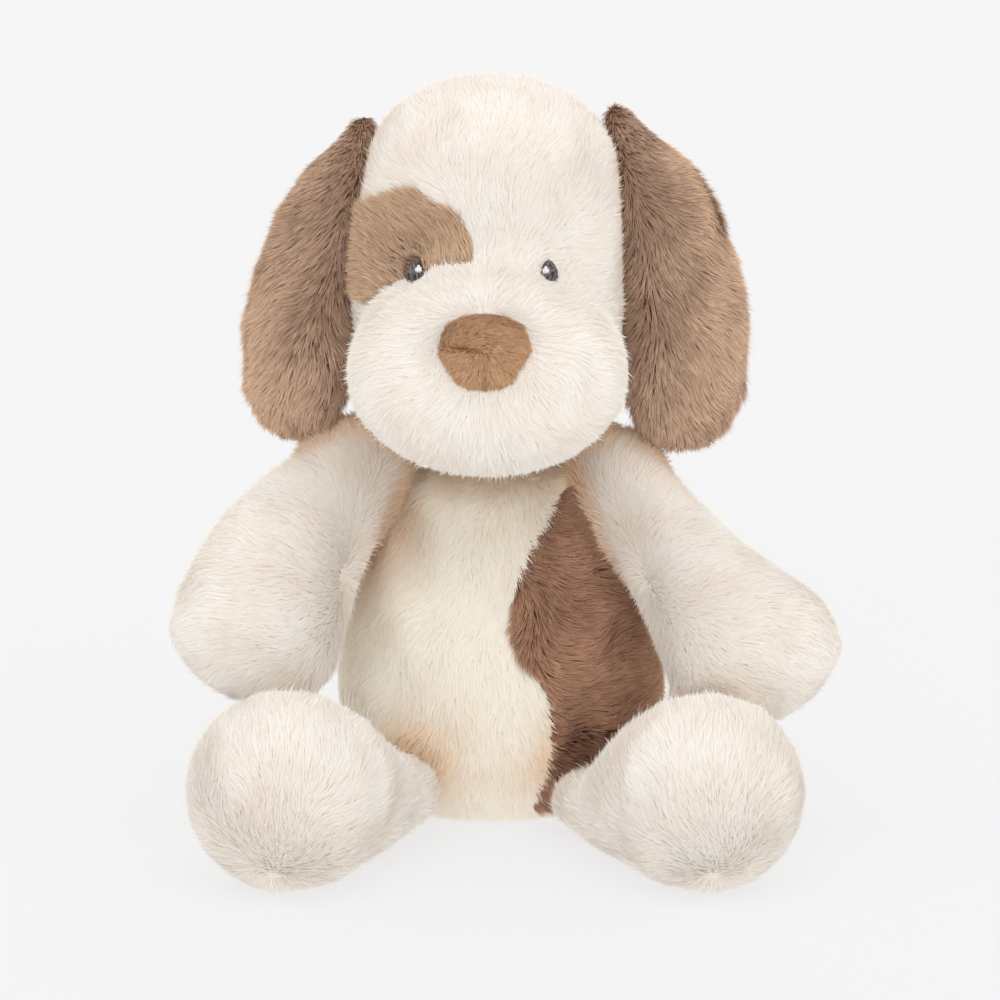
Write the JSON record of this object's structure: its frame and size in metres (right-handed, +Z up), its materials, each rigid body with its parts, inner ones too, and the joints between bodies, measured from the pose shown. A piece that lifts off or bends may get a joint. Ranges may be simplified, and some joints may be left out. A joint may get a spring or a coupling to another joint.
{
  "type": "plush dog",
  "caption": "Seated plush dog with drooping ears, a bulging muzzle, patches of darker plush, splayed legs and stuffed limbs that swing.",
  "frame": {"origin": "middle of the bounding box's base, on the surface the toy sits on", "axes": "+Z up, the dog faces -Y, its left is +X"},
  "size_m": [0.2181, 0.2213, 0.248],
  "materials": {
    "cream_plush": "soft pile",
    "white_plush": "soft pile",
    "brown_plush": "soft pile",
    "dark_brown_plush": "soft pile",
    "eye_patch_plush": "soft pile",
    "nose_plush": "soft pile",
    "thread_grey": "matte",
    "thread_white": "matte",
    "wadding": "matte",
    "calico": "matte"
  },
  "bodies": {
    "torso": {"torso_belly_panel": "cream_plush", "torso_patch_panel": "dark_brown_plush", "torso_back_left_panel": "cream_plush", "torso_back_right_panel": "cream_plush", "torso_base_panel": "cream_plush", "torso_stuffing": "wadding", "pellet_bag": "calico"},
    "head": {"head_forehead_panel": "white_plush", "head_eye_patch": "eye_patch_plush", "head_back_left_panel": "white_plush", "head_back_right_panel": "white_plush", "muzzle_left_panel": "white_plush", "muzzle_right_panel": "white_plush", "nose": "nose_plush", "eye_left_thread": "thread_grey", "eye_left_highlight": "thread_white", "eye_right_thread": "thread_grey", "eye_right_highlight": "thread_white", "head_stuffing": "wadding"},
    "ear_left": {"ear_left_front_panel": "brown_plush", "ear_left_back_panel": "brown_plush", "ear_left_wadding": "wadding"},
    "ear_right": {"ear_right_front_panel": "brown_plush", "ear_right_back_panel": "brown_plush", "ear_right_wadding": "wadding"},
    "arm_left": {"arm_left_top_panel": "white_plush", "arm_left_under_panel": "white_plush", "arm_left_stuffing": "wadding"},
    "arm_right": {"arm_right_top_panel": "white_plush", "arm_right_under_panel": "white_plush", "arm_right_stuffing": "wadding"},
    "leg_left": {"leg_left_top_panel": "white_plush", "leg_left_under_panel": "white_plush", "leg_left_stuffing": "wadding"},
    "leg_right": {"leg_right_top_panel": "white_plush", "leg_right_under_panel": "white_plush", "leg_right_stuffing": "wadding"},
    "tail": {"tail_top_panel": "white_plush", "tail_under_panel": "white_plush", "tail_stuffing": "wadding"}
  },
  "joints": [
    {"name": "neck_nod", "type": "hinge", "parent": "torso", "child": "head", "pos_m": [-0.0058, 0.0232, 0.112], "axis": [1, 0, 0], "range_deg": [-12, 12], "stiffness_Nm_per_rad": 1.2},
    {"name": "ear_left_flop", "type": "hinge", "parent": "head", "child": "ear_left", "pos_m": [0.0367, 0.0252, 0.2335], "axis": [-0.8, -0.6, 0], "range_deg": [0, 45]},
    {"name": "ear_right_flop", "type": "hinge", "parent": "head", "child": "ear_right", "pos_m": [-0.047, 0.0252, 0.2295], "axis": [-0.8, 0.6, 0], "range_deg": [0, 45]},
    {"name": "shoulder_left", "type": "hinge", "parent": "torso", "child": "arm_left", "pos_m": [0.0357, 0.0232, 0.115], "axis": [-0.9659, 0.2588, 0], "range_deg": [-15, 20], "stiffness_Nm_per_rad": 0.3},
    {"name": "shoulder_right", "type": "hinge", "parent": "torso", "child": "arm_right", "pos_m": [-0.0478, 0.0232, 0.1175], "axis": [-0.9659, -0.2588, 0], "range_deg": [-15, 20], "stiffness_Nm_per_rad": 0.3},
    {"name": "hip_left", "type": "hinge", "parent": "torso", "child": "leg_left", "pos_m": [0.0322, -0.0268, 0.0225], "axis": [0, 0, 1], "range_deg": [-12, 0], "stiffness_Nm_per_rad": 0.3},
    {"name": "hip_right", "type": "hinge", "parent": "torso", "child": "leg_right", "pos_m": [-0.0388, -0.0268, 0.0225], "axis": [0, 0, -1], "range_deg": [-12, 0], "stiffness_Nm_per_rad": 0.3},
    {"name": "tail_wag", "type": "hinge", "parent": "torso", "child": "tail", "pos_m": [-0.0018, 0.0847, 0.028], "axis": [0, 0, 1], "range_deg": [-25, 25], "stiffness_Nm_per_rad": 0.05}
  ]
}
